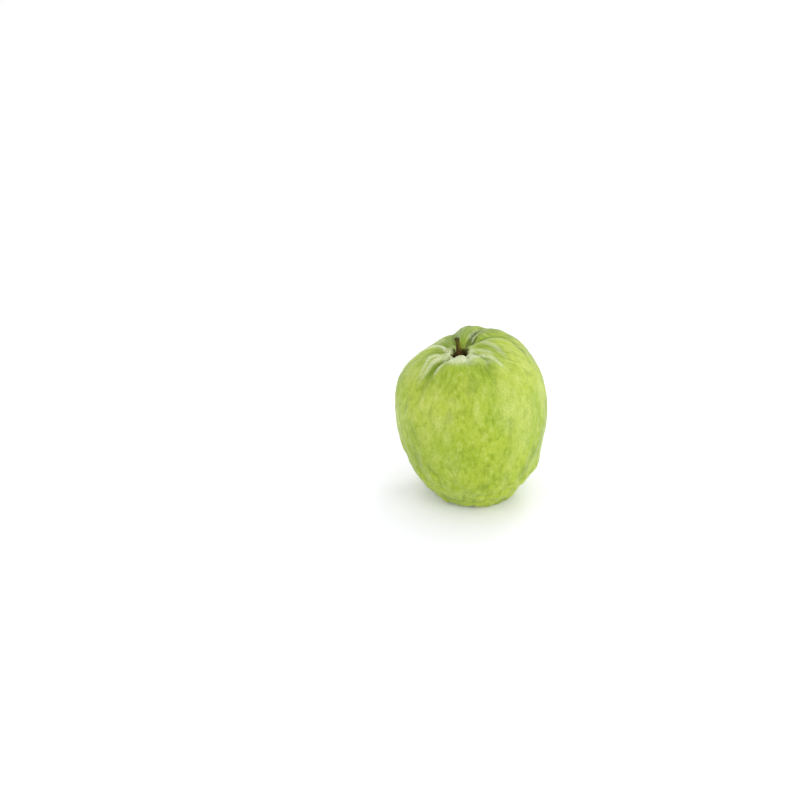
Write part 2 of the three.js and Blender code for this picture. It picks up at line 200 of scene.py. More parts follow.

# Spots on the skin, each as azimuth, place along the skin, half widths across and up, and strength. The
# knuckles are spots of bloom and painted highlight round the pit.
KNUCKLES = [
    (212, 157, 6, 3.5, 0.9), (258, 150, 13, 11, 1.25), (282, 142, 5, 7, 0.5), (302, 149, 5, 5, 1.0),
    (308, 140, 5, 6, 0.5), (140, 138, 9, 7, 0.45),
]
WRINKLED = [
    (14, 126, 16, 10, 1.3), (-14, 130, 12, 9, 1.0), (-4, 113, 8, 10, 1.0), (30, 142, 10, 7, 1.0),
    (66, 143, 6, 9, 1.2), (158, 138, 8, 10, 0.8), (-32, 141, 10, 8, 0.7),
]
WRINKLES_EVERYWHERE = 0.1  # how strong wrinkles are on the rest of the crown
# Spots of paler green: partly the skin's own colour, partly painted highlight and painted reflection on the
# sides.
PALE_AND_HIGHLIGHT_PATCHES = [
    (-133, 109, 2.2, 7, 0.8), (-120, 115, 2.4, 6, 0.6), (-116, 98, 4, 6, 0.8), (-107, 102, 3, 5, 0.9),
    (-106, 112, 3, 4, 0.6), (-108, 89, 2.5, 6, 0.6), (-124, 104, 7, 9, 0.4), (-126, 88, 6, 9, 0.4),
    (-137, 98, 3, 5, 0.5), (-86, 108, 1.8, 7, 0.8), (-88, 123, 4, 6, 0.4), (-80, 91, 1.2, 3, 0.5),
    (-91, 118, 3, 4, 0.4), (-78, 118, 3, 4, 0.4), (-61, 117, 5, 7, 0.7), (-107, 72, 4, 6, 0.4),
    (-48, 99, 8, 15, 0.7), (-60, 103, 6, 8, 0.8), (-61, 96, 4, 6, 0.8), (-50, 84, 7, 12, 0.5),
    (-26, 121, 6, 7, 0.7), (-45, 119, 5, 6, 0.7), (-50, 127, 6, 5, 0.6), (-18, 104, 5, 7, 0.8),
    (-103, 67, 4, 12, 0.3), (-100, 43, 9, 6, 0.4), (-152, 96, 4, 14, 0.3), (23, 124, 6, 5, 0.6),
    (10, 90, 8, 12, 0.4), (70, 100, 6, 14, 0.4), (120, 84, 7, 12, 0.4), (165, 104, 5, 10, 0.4),
    (-118, 74, 3, 6, 0.4), (-58, 71, 4, 7, 0.4), (-132, 135, 5, 4, 0.4), (-58, 55, 3, 6, 0.35),
    (-54, 113, 3, 4, 0.6), (-34, 115, 4, 5, 0.5), (-22, 97, 4, 6, 0.5), (-160, 120, 6, 6, 0.5),
]
# Spots of deeper green: partly the skin's own colour, partly painted shade on the back lobes, in valleys and
# low on one side.
DEEP_AND_SHADED_PATCHES = [
    (126, 145, 9, 9, 1.2), (90, 139, 9, 10, 1.3), (50, 138, 9, 7, 0.9), (28, 132, 8, 6, 0.6),
    (8, 126, 7, 6, 0.4), (222, 131, 4, 10, 1.2), (226, 121, 4, 5, 0.9), (290, 133, 5, 6, 0.9),
    (287, 104, 4, 10, 0.35), (254, 120, 8, 9, 0.25), (236, 121, 5, 6, 0.35), (224, 83, 8, 12, 0.25),
    (269, 84, 4, 6, 0.4), (271, 73, 3, 5, 0.5), (278, 93, 3, 5, 0.5), (289, 62, 9, 11, 0.4),
    (284, 71, 5, 8, 0.45), (297, 76, 7, 9, 0.4), (263, 84, 4, 8, 0.4), (264, 106, 4, 5, 0.4),
    (222, 66, 10, 14, 0.45), (335, 74, 4, 9, 0.7), (326, 67, 4, 8, 0.7), (319, 60, 5, 7, 0.7),
    (120, 112, 9, 13, 0.3), (160, 74, 10, 14, 0.3), (80, 66, 10, 14, 0.3), (30, 96, 8, 13, 0.3),
    (258, 94, 4, 4, 0.4), (293, 118, 2, 4, 0.5), (288, 115, 4, 7, 0.3), (236, 128, 6, 6, 0.3),
]

# The mesh of the skin.
ROWS = 204
ROWS_CROWD = 0.3  # how much closer than the mean the rows lie at the pit, and how much wider at the basin
COLUMNS = 480

# ---- The stem and the calyx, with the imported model's driving dimensions ----------------------------------

GAP = 0.35  # between the fruit and what grows from it
# Radius and height of the stub above its foot, from the middle of the foot to the middle of the cut.
STEM_OUTLINE = [
    (0, 0), (1.9, 0.3), (2.8, 1.3), (2.9, 2.6), (2.6, 4.0), (2.0, 5.4), (1.5, 7.2),
    (1.2, 9.4), (1.15, 11.6), (1.4, 13.4), (1.6, 14.1), (1.2, 14.5), (0.8, 14.0), (0, 13.8),
]
STEM_HEIGHT = max(height for _, height in STEM_OUTLINE)
STEM_PLACE = (-0.4, 0)  # where its foot stands, from the middle of the pit's floor
STEM_BEND = (-1.4, 1.4)  # how far its top leans aside
STEM_RIDGES = {"count": 5, "rise": 0.12, "from_radius": 1}  # ridges along it, outside a radius
# Flakes of cork round the stem's foot. Thickness is a share of the width, and a foot lies as far below the
# stem's own foot as it is sunk, and higher by the climb times the square of its distance from the axis.
CORK = {
    "seed": 5, "count": 26, "from_axis": (1.8, 3.3), "height": (0.8, 2.2), "width": (0.3, 0.7),
    "lean": (-0.5, 0.8), "thickness": 0.3, "sunk": 0.6, "climb": 0.06,
}

# Radius and height of the calyx ring, from the middle of its root to the middle of the disc that it bears.
CALYX_OUTLINE = [
    (0, 0), (3.9, -0.1), (5.0, -1.2), (4.9, -3.0), (4.3, -3.3), (3.7, -2.6), (3.4, -1.3), (0, -1.1),
]
CALYX_RIM = CALYX_OUTLINE[3]  # the edge that the sepals grow from
# A sepal's azimuth, length, width and how far it spreads, in degrees.
SEPALS = [
    (12, 5.6, 5.0, 42), (88, 4.8, 4.6, 20), (155, 5.8, 5.2, 50), (232, 5.0, 4.8, 30), (300, 5.0, 4.4, 12),
]
SEPAL_THICKNESS = 0.7
SEPAL_ROOT = {"depth": 1.2, "inwards": 0.5}  # how far inside the rim a sepal starts
SEPAL_NARROWING = 0.35  # the share of its width that a sepal loses evenly towards its tip
SEPAL_CUP = 0.14  # how far its edges bend in, times the square of their distance from its middle
SEPAL_LEAN = 0.6  # the share of its spread that a sepal has from its root on
STYLE = {"radius": 0.7, "length": 4.2, "foot": -0.4, "lean": 0.65}
STAMENS = {
    "seed": 9, "count": 54, "from_axis": (1.2, 3.1), "length": (1.6, 3.2), "radius": 0.11,
    "foot": -1.0, "lean": (-0.6, 0.7), "aside": (-0.6, 0.6),
}
THREAD_TAPER = 0.6  # the share of its radius that a thread loses towards its tip
THREAD_SIDE = (0.3, 1.0, 0.2)  # a direction that no thread runs in

# How the dry pieces are roughened: layers of noise, each with the size of its grain, or one for each axis,
# and its depth.
STEM_ROUGHNESS = [((0.55, 0.55, 2.6), 0.16), (1.3, 0.22)]
CORK_ROUGHNESS = [(0.6, 0.4)]
RING_ROUGHNESS = [(1.6, 0.3), (0.5, 0.12)]
SEPAL_ROUGHNESS = [(1.8, 0.45), (0.6, 0.14)]
THREAD_ROUGHNESS = [(1.1, 0.35)]
NOISE_SEED = 3  # Blender seeds its vector noise by the clock otherwise

# ---- The view and the light: the camera stands where the photograph was taken from -----------------------

VIEW_ELEVATION = 25  # degrees above the floor
VIEW_DISTANCE = 0.702  # metres from the fruit's middle
VIEW_HEIGHT = 0.050  # metres above the floor, the fruit's middle
VIEW_PIXEL = (471, 416)  # where that middle lies in the 800 x 800 photograph
VIEW_LENS = 52.5  # millimetres on a 36 mm sensor
SENSOR = 36  # millimetres
IMAGE = 800  # pixels across and down

FLOOR_SIZE = 6  # metres
FLOOR_GLOW = {"Emission_Color": (0.7, 0.55, 1, 1), "Emission_Strength": 0.09}  # takes green from its shadows
# A softbox's name, place and diameter in metres, and power in watts.
SOFTBOXES = [
    ("top_softbox", (0.35, 0.6, 0.8), 0.4, 1.6),
    ("right_softbox", (0.8, -0.6, 0.42), 0.5, 2.9),
    ("left_softbox", (-0.9, -0.3, 0.4), 0.5, 0.5),
]


# ---- Small helpers ---------------------------------------------------------------------------------------


def smooth(low, high, x):
    """0 below low, 1 above high, and a smooth step between them."""
    share = np.clip((np.asarray(x, float) - low) / (high - low), 0, 1)
    return share * share * (3 - 2 * share)


def mix(a, b, share):
    return a + (b - a) * share


def turn(start, end):
    """The signed angle from one azimuth to another, within half a turn either way."""
    return (end - start + 180) % 360 - 180


def random_stream(seed):
    """A repeatable stream of numbers from 0 to 1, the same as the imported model's."""
    mask = 0xFFFFFFFF
    state = seed
    while True:
        state = (state + 0x6D2B79F5) & mask
        t = ((state ^ (state >> 15)) * (state | 1)) & mask
        t ^= (t + (((t ^ (t >> 7)) * (t | 61)) & mask)) & mask
        yield ((t ^ (t >> 14)) & mask) / 4294967296


def mesh_object(name, points, faces, material, node):
    """A smooth-shaded piece made from millimetre points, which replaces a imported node."""
    mesh = bpy.data.meshes.new(name)
    mesh.from_pydata((np.asarray(points) * MM).tolist(), [], faces)
    mesh.update()
    mesh.polygons.foreach_set("use_smooth", [True] * len(mesh.polygons))
    mesh.materials.append(material)
    piece = bpy.data.objects.new(name, mesh)
    bpy.context.scene.collection.objects.link(piece)
    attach(piece, "root")
    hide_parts(node)
    return piece


def set_attribute(piece, name, values):
    """Stores a number or a vector for each vertex, for the materials to read."""
    values = np.asarray(values, np.float32)
    kind, field = ("FLOAT", "value") if values.ndim == 1 else ("FLOAT_VECTOR", "vector")
    attribute = piece.data.attributes.new(name, kind, "POINT")
    attribute.data.foreach_set(field, values.ravel())


def capped_grid_faces(rows, columns):
    """Faces of a closed skin, whose points are a pole, then ring after ring, and the other pole."""
    last = 1 + (rows - 1) * columns
    faces = [(0, 1 + (c + 1) % columns, 1 + c) for c in range(columns)]
    for row in range(rows - 2):
        start = 1 + row * columns
        for c in range(columns):
            d = (c + 1) % columns
            faces.append((start + c, start + d, start + columns + d, start + columns + c))
    start = last - columns
    faces += [(start + c, start + (c + 1) % columns, last) for c in range(columns)]
    return faces


def joined(parts):
    """Several closed surfaces, each as points and faces, as one list of points and one of faces."""
    points, faces, start = [], [], 0
    for part_points, part_faces in parts:
        points.append(part_points)
        faces += [tuple(start + corner for corner in face) for face in part_faces]
        start += len(part_points)
    return np.concatenate(points), faces


def without_seam(grid):
    """A grid's points as one list in which each pole, a whole row of the grid, is a single point."""
    rows = grid.shape[0]
    tail = grid.shape[2:]
    middle = grid[1 : rows - 1].reshape(-1, *tail)
    return np.concatenate([grid[0, :1], middle, grid[-1, :1]])


def tube(line, across, widths, thicknesses, sides):
    """A closed skin round a line of points, oval across, whose widths and thicknesses are 0 at its ends."""
    direction = np.gradient(line, axis=0)
    thick = np.cross(direction / np.linalg.norm(direction, axis=1)[:, None], across)
    angle = np.linspace(0, 2 * np.pi, sides, endpoint=False)[None, :, None]
    aside = across * np.asarray(widths)[:, None, None] * np.cos(angle)
    above = thick[:, None, :] * np.asarray(thicknesses)[:, None, None] * np.sin(angle)
    return without_seam(line[:, None, :] + aside + above), capped_grid_faces(len(line) - 1, sides)


def turned(outline, rows, columns):
    """Radius, height and angle of the points of a solid turned about Z, as a grid of rows and columns."""
    curve = Outline(outline)
    radius, height, _ = curve.along(np.linspace(0, curve.length, rows + 1))
    angle = np.arange(columns) * 2 * np.pi / columns
    return np.broadcast_arrays(radius[:, None], height[:, None], angle[None, :])


def round_about(at):
    """Unit vectors outwards and round the axis, at an azimuth."""
    a = math.radians(at)
    return np.array([math.cos(a), math.sin(a), 0]), np.array([-math.sin(a), math.cos(a), 0])


def roughened(points, layers):
    """Points pushed about by layers of noise, each given as the size of its grain and its depth."""
    for grain, depth in layers:
        shifts = [noise.noise_vector(Vector(point)) for point in points / np.asarray(grain)]
        points = points + depth * np.array(shifts)
    return points


class Outline:
    """A smooth curve of radius and height through an outline's points, that is followed by distance."""

    SAMPLES = 2001

    def __init__(self, points):
        self.knots = np.array(points, float)
        self.steps = np.linspace(0, 1, self.SAMPLES)
        points = self.spline(self.steps)
        self.distances = np.concatenate([[0], np.cumsum(np.hypot(*np.diff(points, axis=0).T))])
        self.length = self.distances[-1]

    def spline(self, t):
        """A Catmull-Rom curve through the knots, with its ends doubled."""
        last = len(self.knots) - 1
        at = last * np.clip(t, 0, 1)
        knot = np.minimum(np.floor(at).astype(int), last)
        w = (at - knot)[:, None]
        p0, p1, p2, p3 = (self.knots[np.clip(knot + k, 0, last)] for k in (-1, 0, 1, 2))
        v0 = (p2 - p0) / 2
        v1 = (p3 - p1) / 2
        return (2 * p1 - 2 * p2 + v0 + v1) * w**3 + (3 * p2 - 3 * p1 - 2 * v0 - v1) * w**2 + v0 * w + p1

    def along(self, distance):
        """Radius, height and unit direction of the outline at distances along it."""
        t = np.interp(distance, self.distances, self.steps)
        step = 1e-4
        ahead = self.spline(t + step) - self.spline(t - step)
        radius, height = self.spline(t).T
        return radius, height, ahead / np.hypot(*ahead.T)[:, None]


# ---- Shader helpers --------------------------------------------------------------------------------------


class Shader:
    """One node material. A node's input takes a number, a colour or another node's output."""

    def __init__(self, name, **constants):
        self.material = bpy.data.materials.new(name)
        self.material.use_nodes = True
        self.tree = self.material.node_tree
        self.surface = self.tree.nodes["Principled BSDF"]
        for socket, value in constants.items():
            self.surface.inputs[socket.replace("_", " ")].default_value = value
        self.place = self.node("ShaderNodeTexCoord").outputs["Object"]

    def node(self, kind, inputs=None, **settings):
        made = self.tree.nodes.new(kind)
        for name, value in settings.items():
            setattr(made, name, value)
        for socket, value in (inputs or {}).items():
            self.feed(made.inputs[socket], value)
        return made

    def feed(self, socket, value):
        if isinstance(value, bpy.types.NodeSocket):
            self.tree.links.new(value, socket)
        else:
            socket.default_value = value

    def attribute(self, name, output="Fac"):
        return self.node("ShaderNodeAttribute", attribute_name=name).outputs[output]

    def noise(self, scale, detail=4, roughness=0.55, stretch=1, place=None):
        """Noise whose grain is about 1/scale metres, drawn out along Z by a stretch above 1."""
        vectors = {"Vector": place or self.place, "Scale": (1, 1, 1 / stretch)}
        place = self.node("ShaderNodeMapping", vectors).outputs[0]
        inputs = {"Vector": place, "Scale": scale, "Detail": detail, "Roughness": roughness}
        return self.node("ShaderNodeTexNoise", inputs).outputs["Fac"]

    def cells(self, scale):
        """The distance from the middles of cells that are about 1/scale metres across."""
        return self.node("ShaderNodeTexVoronoi", {"Vector": self.place, "Scale": scale}).outputs["Distance"]

    def span(self, value, low, high, to_low=0.0, to_high=1.0):
        """Maps a value from one span to another with a smooth step, and clamps it."""
        inputs = {"Value": value, "From Min": low, "From Max": high, "To Min": to_low, "To Max": to_high}
        return self.node("ShaderNodeMapRange", inputs, interpolation_type="SMOOTHSTEP").outputs["Result"]

    def added(self, a, b):
        return self.node("ShaderNodeMath", {0: a, 1: b}, operation="ADD").outputs[0]

    def times(self, a, b):
        return self.node("ShaderNodeMath", {0: a, 1: b}, operation="MULTIPLY").outputs[0]

    def blend(self, share, a, b):
        made = self.node("ShaderNodeMix", data_type="RGBA")
        for socket, value in (("Factor_Float", share), ("A_Color", a), ("B_Color", b)):
            self.feed(next(s for s in made.inputs if s.identifier == socket), value)
        return next(s for s in made.outputs if s.identifier == "Result_Color")

    def lay(self, colour, tone, field, low, high, most=1.0):
        """Lays a tone over a colour as a field goes from low to high, up to the most that covers it."""
        return self.blend(self.span(field, low, high, 0, most), colour, tone)

    def bump(self, height, distance):
        inputs = {"Height": height, "Distance": distance, "Strength": 1.0}
        return self.node("ShaderNodeBump", inputs).outputs["Normal"]

    def finish(self, colour, normal=None, roughness=None):
        self.feed(self.surface.inputs["Base Color"], colour)
        if normal is not None:
            self.feed(self.surface.inputs["Normal"], normal)
        if roughness is not None:
            self.feed(self.surface.inputs["Roughness"], roughness)
        return self.material


def rgb(red, green, blue):
    """A colour given as it shows on a screen, 0 to 255, as the linear values that a shader takes."""
    linear = [((v / 255 + 0.055) / 1.055) ** 2.4 if v > 10 else v / 255 / 12.92 for v in (red, green, blue)]
    return (*linear, 1.0)


GREEN = rgb(148, 174, 42)
BRIGHT_GREEN = rgb(170, 189, 54)
LOW_GREEN = rgb(153, 177, 0)
DEEP_GREEN = rgb(108, 136, 0)
FURROW_GREEN = rgb(74, 98, 0)
CREASE_SHADE = rgb(50, 66, 0)
PALE_GREEN = rgb(200, 210, 118)
BLOOM_AND_HIGHLIGHT = rgb(216, 222, 186)
CORK_DARK_AND_SHADE = rgb(34, 30, 8)
CORK_PALE = rgb(104, 104, 40)
CORK_RED = rgb(102, 62, 22)
BARK_DARK = rgb(52, 46, 16)
BARK = rgb(106, 104, 20)
BARK_PALE = rgb(140, 136, 56)
PITH = rgb(104, 96, 44)
DRY_DARK = rgb(58, 38, 20)
DRY_BROWN = rgb(112, 78, 44)
DRY_PALE = rgb(158, 128, 82)
FLOOR_WHITE = rgb(250, 250, 255)


# ---- The fruit's skin ------------------------------------------------------------------------------------


def scatter(skin, seed, count, width, stretch):
    """Bumps spread evenly over the skin: round near the basin, and drawn out up the side."""
    draw = random_stream(seed)
    bumps = []
    for _ in range(count):
        at = 360 * next(draw)
        along = skin.length * math.acos(1 - 2 * next(draw)) / math.pi
        size = next(draw)
        across = mix(*width, size)
        up = across * mix(1, stretch, float(smooth(*DRAWN_OUT, along / skin.length)))
        bumps.append((at, along, across, up, size, next(draw)))
    return bumps


def distance_squared(bump, at, along, radius):
    """The square of a point's distance from a bump's or spot's middle, in its half widths."""
    middle, place, across, up = bump[:4]
    return ((along - place) / up) ** 2 + (radius * np.radians(turn(middle, at)) / across) ** 2


def lump_field(bumps, at, along, radius):
    """Domes that run into one another, from 0 in the creases to about 1."""
    field = np.zeros(np.broadcast(at, along).shape)
    for bump in bumps:
        _, place, _, up, _, chance = bump
        rows = np.abs(along[:, 0] - place) < up
        inside = np.clip(1 - distance_squared(bump, at, along[rows], radius[rows]), 0, 1)
        field[rows] = np.hypot(field[rows], inside**LUMP_STEEPNESS * mix(*LUMP_TOPS, chance))
    return field


def swell_field(bumps, at, along, radius):
    """Broad swells and hollows that add up."""
    field = np.zeros(np.broadcast(at, along).shape)
    for bump in bumps:
        _, place, _, up, size, chance = bump
        rows = np.abs(along[:, 0] - place) < SWELL_REACH * up
        rise = 1 if chance > HOLLOWS["share"] else HOLLOWS["rise"]
        field[rows] += rise * (1 + size) * np.exp(-distance_squared(bump, at, along[rows], radius[rows]))
    return field


def route(line, from_pit):
    """The azimuth at which a furrow or ridge runs, at distances from the pit's floor."""
    at, twist, over = line[:3]
    return at + twist * smooth(*over, from_pit)


def share_between(start, end, at):
    """The share of the way from one azimuth round to another: 0 to 1 between them, and above 1 elsewhere."""
    return ((at - start) % 360) / ((end - start) % 360)


def crown_flow(at, from_pit):
    """How far the skin's lines have turned on their way out, as the furrows on either side have."""
    flow = np.zeros(np.broadcast(at, from_pit).shape)
    for furrow, following in FURROW_PAIRS:
        start = route(furrow, from_pit)
        end = route(following, from_pit)
        share = share_between(start, end, at)
        both = mix(start - furrow[0], end - following[0], smooth(0, 1, share))
        flow = np.where(share < 1, both, flow)
    return flow


def grain_turn(at, from_pit):
    """How far the grain has turned: with the furrows on the crown, and evenly further down."""
    evenly = GRAIN_TURN * (1 + np.cos(np.radians(at - GRAIN_TURNS_MOST))) / 2
    return mix(crown_flow(at, from_pit), evenly, smooth(*GRAIN_EVENS, from_pit))


def crown_relief(at, from_pit):
    """Furrows and lobes: their relief, and how deep in a furrow each point is, 0 to 1."""
    shape = np.broadcast(at, from_pit).shape
    relief = np.zeros(shape)
    depth = np.zeros(shape)
    for furrow, following in FURROW_PAIRS:
        deep, banks, reach, lobe = furrow[3:]
        start = route(furrow, from_pit)
        end = route(following, from_pit)

        aside = turn(start, at)
        width = np.where(aside < 0, *banks) * (1 + BANKS_WIDER * smooth(*BANKS_WIDEN, from_pit))
        away = np.hypot(aside, FURROW_ROUNDING) - FURROW_ROUNDING
        left = 1 - smooth(FURROWS_FADE_FROM, reach, from_pit)
        fade = smooth(*FURROWS_DEEPEN, from_pit) * left**FURROW_FADING
        cut = deep * fade * np.exp(-away / width)
        relief -= cut
        depth = np.maximum(depth, cut / deep * min(1, deep / SHADED_FURROW))

        share = share_between(start, end, at)
        swell = smooth(*LOBES_RISE, from_pit) * (1 - smooth(*LOBES_FADE, from_pit))
        relief += lobe * swell * np.where(share < 1, np.sin(np.pi * np.clip(share, 0, 1)) ** 2, 0)
    return relief, depth


def ridge_relief(at, from_pit):
    """The narrow ridges: their relief, and how near to the top of one each point is, 0 to 1."""
    shown = smooth(*RIDGES_RISE, from_pit) * (1 - smooth(*RIDGES_FADE, from_pit))
    relief = np.zeros(np.broadcast(at, from_pit).shape)
    top = np.zeros(relief.shape)
    for ridge in RIDGES:
        rise, width = ridge[3:]
        away = np.hypot(turn(route(ridge, from_pit), at), RIDGE_ROUNDING) - RIDGE_ROUNDING
        near = shown * np.exp(-away / width)
        relief += rise * near
        top = np.maximum(top, near * min(1, rise))
    return relief, top


def knob_relief(at, along, radius):
    return sum(rise * np.exp(-distance_squared(knob, at, along, radius)) for *knob, rise in KNOBS)


def crests(relief):
    """How far the skin stands out from the skin on either side of it; below zero in a valley."""
    columns = round(CREST_SPAN / 360 * COLUMNS)
    return relief - (np.roll(relief, columns, axis=1) + np.roll(relief, -columns, axis=1)) / 2


def nearness(spots, at, along, radius):
    """How near each point is to the nearest spot's middle, from 0 to the spot's strength."""
    near = [strength * np.exp(-distance_squared(spot, at, along, radius)) for *spot, strength in spots]
    return np.maximum.reduce(near)


def line_nearness(lines, at, along, radius):
    """How near each point is to the nearest line's middle, from 0 to the line's strength."""
    near = np.zeros(np.broadcast(at, along).shape)
    for half_width, strength, places in lines:
        for part, ((start_at, start), (end_at, end)) in enumerate(zip(places, places[1:])):
            x, y = radius * np.radians(turn(start_at, at)), along - start
            x_end, y_end = radius * np.radians(turn(start_at, end_at)), end - start
            share = np.clip((x * x_end + y * y_end) / (x_end**2 + y_end**2), 0, 1)
            away = np.hypot(x - share * x_end, y - share * y_end)
            from_middle = 2 * (part + share) / (len(places) - 1) - 1
            left = 1 - LINE_ENDS * from_middle**LINE_TAPER
            near = np.maximum(near, strength * left * np.exp(-((away / (half_width * left)) ** 2)))
    return near


def bump_relief(skin, at, along, radius, height):
    """Swells, lumps and streaks: their relief, and how far each point is up a lump."""
    swell = swell_field(scatter(skin, **SWELLS), at, along, radius)
    lump = lump_field(scatter(skin, **LUMPS), at, along, radius)
    streak = lump_field(scatter(skin, **STREAKS), at, along, radius)

    from_pit = skin.length - along
    shown = smooth(*LUMPS_FROM_PIT, from_pit) * smooth(*LUMPS_FROM_BASIN, along)
    low = 1 - smooth(*LOW_HEIGHTS, height)
    relief = shown * SWELL_RISE * swell * mix(*SWELLS_SHOW, low)
    relief += shown * LUMP_RISE * (lump - LUMP_FLOOR) * mix(*LUMPS_SHOW, low)
    fine = smooth(*STREAKS_FROM_PIT, from_pit) * mix(STREAKS_LEAST, 1, smooth(*STREAKS_GROW, from_pit))
    relief += fine * STREAK_RISE * (streak - STREAK_FLOOR)
    return relief, lump * shown


def placed(at, plain, raised):
    """The raised skin's points, with the crown moved aside and sloped, and the lowest flesh pressed flat.
    Plain and raised each give radius and height, without relief and with it."""
    radius, height = plain
    raised_radius, raised_height = raised
    near_pit = smooth(*OFFSET_HEIGHTS, height) * (1 - smooth(0, OFFSET_REACH, radius))
    x = raised_radius * np.cos(np.radians(at)) + PIT_OFFSET[0] * near_pit
    y = raised_radius * np.sin(np.radians(at)) + PIT_OFFSET[1] * near_pit
    slope = smooth(*SLOPE_HEIGHTS, height) * (CROWN_SLOPE[0] * x + CROWN_SLOPE[1] * y)
    z = np.maximum(0, raised_height + slope - FLATTENED)
    return np.stack([x + AXIS[0], y + AXIS[1], z], axis=-1)


def bloom_and_highlight_field(at, along, radius, from_pit, ridge_top):
    """How much bloom and painted highlight lies on the ridges, in spots and along lines."""
    ridges = RIDGE_BLOOM_AND_HIGHLIGHT * ridge_top * (1 - smooth(*BLOOM_AND_HIGHLIGHT_FADES, from_pit))
    lines = line_nearness(BLOOM_AND_HIGHLIGHT_LINES, at, along, radius) * (1 - smooth(*LINES_FADE, from_pit))
    return np.maximum.reduce([ridges, nearness(KNUCKLES, at, along, radius), lines])


def wrinkled_field(at, along, radius, from_pit):
    """How wrinkled each point is, on the crown alone."""
    wrinkled = np.maximum(nearness(WRINKLED, at, along, radius), WRINKLES_EVERYWHERE)
    return wrinkled * (1 - smooth(*RIDGES_FADE, from_pit))


def grain_field(at, along, from_pit):
    """Where the grain's noise is read, in metres: on a cylinder that turns as the grain does."""
    flow = np.radians(at - grain_turn(at, from_pit))
    wrapped = [GRAIN_RADIUS * np.cos(flow), GRAIN_RADIUS * np.sin(flow), along]
    return np.stack(np.broadcast_arrays(*wrapped), axis=-1) * MM


def skin_points(skin):
    """The skin as a grid of points, with fields that its material reads."""
    share = np.linspace(0, 1, ROWS + 1)
    distance = skin.length * share * (1 + ROWS_CROWD * (1 - share))
    radius, height, direction = skin.along(distance)
    along, radius, height = distance[:, None], radius[:, None], height[:, None]
    at = (np.arange(COLUMNS) * 360 / COLUMNS)[None, :]
    from_pit = skin.length - along

    crown, furrow = crown_relief(at, from_pit)
    ridges, ridge_top = ridge_relief(at, from_pit)
    crown += ridges + knob_relief(at, along, radius)
    bumps, lump = bump_relief(skin, at, along, radius, height)
    crease = line_nearness(CREASES, at, along, radius)
    out = crown + bumps - CREASE_DEPTH * crease
    raised = (np.maximum(0, radius + out * direction[:, 1:]), height - out * direction[:, :1])

    fields = {
        "furrow": furrow,
        "crest": crests(crown),
        "crease": crease,
        "wrinkled": wrinkled_field(at, along, radius, from_pit),
        "bloom_and_highlight": bloom_and_highlight_field(at, along, radius, from_pit, ridge_top),
        "pale": nearness(PALE_AND_HIGHLIGHT_PATCHES, at, along, radius),
        "deep": nearness(DEEP_AND_SHADED_PATCHES, at, along, radius),
        "from_pit": np.broadcast_to(from_pit, furrow.shape),
        "lump": lump,
        "grain": grain_field(at, along, from_pit),
    }
    return placed(at, (radius, height), raised), fields


def make_fruit():
    points, fields = skin_points(Outline(OUTLINE))
    faces = capped_grid_faces(ROWS, COLUMNS)
    fruit = mesh_object("fruit_skin", without_seam(points), faces, skin_material(), "fruit")
    for name, values in fields.items():
        set_attribute(fruit, name, without_seam(values))
    return points[-1, 0], points[0, 0]


def green_rind(s, from_pit, mottle, flecks):
    """Yellow-green that deepens further down, with mottling, flecks, pale pores, and patches of deeper green
    with painted shade and of paler green with painted highlight.
    """
    colour = s.lay(GREEN, BRIGHT_GREEN, s.noise(26), 0.35, 0.65)
    colour = s.lay(colour, LOW_GREEN, from_pit, 55, 105, 0.3)
    colour = s.lay(colour, DEEP_GREEN, mottle, 0.5, 0.3, 0.55)
    colour = s.lay(colour, PALE_GREEN, mottle, 0.52, 0.72, 0.45)
    colour = s.lay(colour, DEEP_GREEN, flecks, 0.46, 0.3, 0.25)
    colour = s.lay(colour, PALE_GREEN, flecks, 0.54, 0.72, 0.3)
    # Deeper green and painted shade, in the deep patches.
    deep = s.times(s.attribute("deep"), s.span(mottle, 0.7, 0.35, 0.2, 1))
    colour = s.blend(deep, colour, DEEP_GREEN)
    # Paler green and painted highlight, in the pale patches.
    pale = s.times(s.attribute("pale"), s.span(flecks, 0.3, 0.6, 0.3, 0.8))
    colour = s.blend(pale, colour, PALE_GREEN)
    return s.lay(colour, PALE_GREEN, s.cells(900), 0.22, 0.0, 0.3)


def shaded_hollows(s, colour):
    """Painted shade: deeper green between the lumps, in the valleys and in the furrows."""
    colour = s.lay(colour, DEEP_GREEN, s.attribute("lump"), 0.4, 0.0, 0.4)
    colour = s.lay(colour, DEEP_GREEN, s.attribute("crest"), -0.05, -0.7, 0.75)
    return s.lay(colour, DEEP_GREEN, s.attribute("furrow"), 0.3, 0.9, 0.5)


def wrinkled_crown(s, colour, wrinkled, wrinkles):
    """Thin dark and pale wrinkles that follow the grain: painted shade in their troughs and painted highlight
    on their tops.
    """
    dark = s.times(wrinkled, s.span(wrinkles, 0.48, 0.36, 0, 0.6))
    pale = s.times(wrinkled, s.span(wrinkles, 0.54, 0.66, 0, 0.6))
    return s.blend(pale, s.blend(dark, colour, FURROW_GREEN), PALE_GREEN)


def bloom_highlight_and_crease_shade(s, colour):
    """Speckled, whitish bloom with painted highlight, and dark creases of painted shade."""
    speckle = s.span(s.noise(1300, detail=3), 0.36, 0.62, 0.35, 0.95)
    bloom_and_highlight = s.times(s.span(s.attribute("bloom_and_highlight"), 0.15, 0.95), speckle)
    colour = s.blend(bloom_and_highlight, colour, BLOOM_AND_HIGHLIGHT)
    # Painted shade, near-black, in the creases.
    return s.lay(colour, CREASE_SHADE, s.attribute("crease"), 0.2, 1.2, 0.85)


